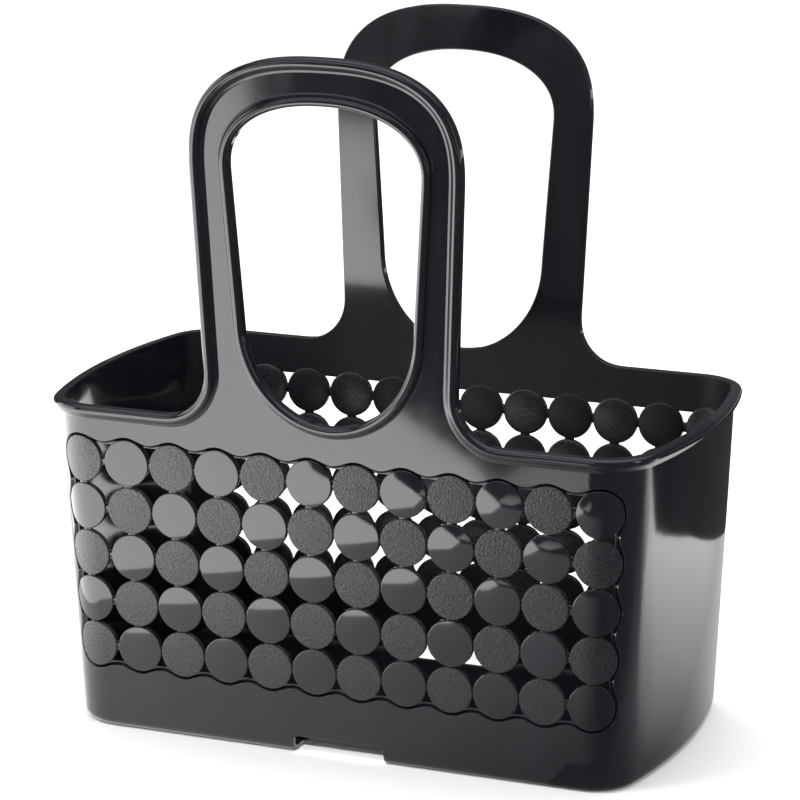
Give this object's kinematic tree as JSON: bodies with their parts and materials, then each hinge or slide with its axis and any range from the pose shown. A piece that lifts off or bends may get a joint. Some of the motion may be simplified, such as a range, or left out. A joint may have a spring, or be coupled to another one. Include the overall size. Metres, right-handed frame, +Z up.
{
  "type": "shower caddy",
  "caption": "Open plastic tote with disc-lattice front and rear walls, a beaded rim and two tall hand loops that flex together for carrying.",
  "frame": {"origin": "middle of the base, on the plane that the caddy stands on", "axes": "+Z up, +X along the tub, +Y from the front wall to the rear wall"},
  "size_m": [0.3044, 0.172, 0.3193],
  "materials": {
    "gloss_shell": "glossy black moulding",
    "gloss_disc": "polished black, slightly domed",
    "grained_disc": "fine leather grain"
  },
  "bodies": {
    "tub": {"floor_pan": "gloss_shell", "left_end_wall": "gloss_shell", "right_end_wall": "gloss_shell", "left_rim_bead": "gloss_shell", "right_rim_bead": "gloss_shell", "front_wall": "gloss_shell", "front_gloss_discs": "gloss_disc", "front_grained_discs": "grained_disc", "front_disc_links": "gloss_shell", "front_opening_bead": "gloss_shell", "rear_wall": "gloss_shell", "rear_gloss_discs": "gloss_disc", "rear_grained_discs": "grained_disc", "rear_disc_links": "gloss_shell", "rear_opening_bead": "gloss_shell"},
    "front_handle": {"front_handle_strap": "gloss_shell", "front_handle_edge_bead": "gloss_shell", "front_handle_opening_bead": "gloss_shell"},
    "rear_handle": {"rear_handle_strap": "gloss_shell", "rear_handle_edge_bead": "gloss_shell", "rear_handle_opening_bead": "gloss_shell"}
  },
  "joints": [
    {"name": "front_handle_flex", "type": "hinge", "parent": "tub", "child": "front_handle", "pos_m": [0, -0.07634, 0.186], "axis": [-1, 0, 0], "range_deg": [0, 34], "stiffness_Nm_per_rad": 3},
    {"name": "rear_handle_flex", "type": "hinge", "parent": "tub", "child": "rear_handle", "pos_m": [0, 0.07634, 0.186], "axis": [1, 0, 0], "range_deg": [0, 34], "stiffness_Nm_per_rad": 3}
  ]
}
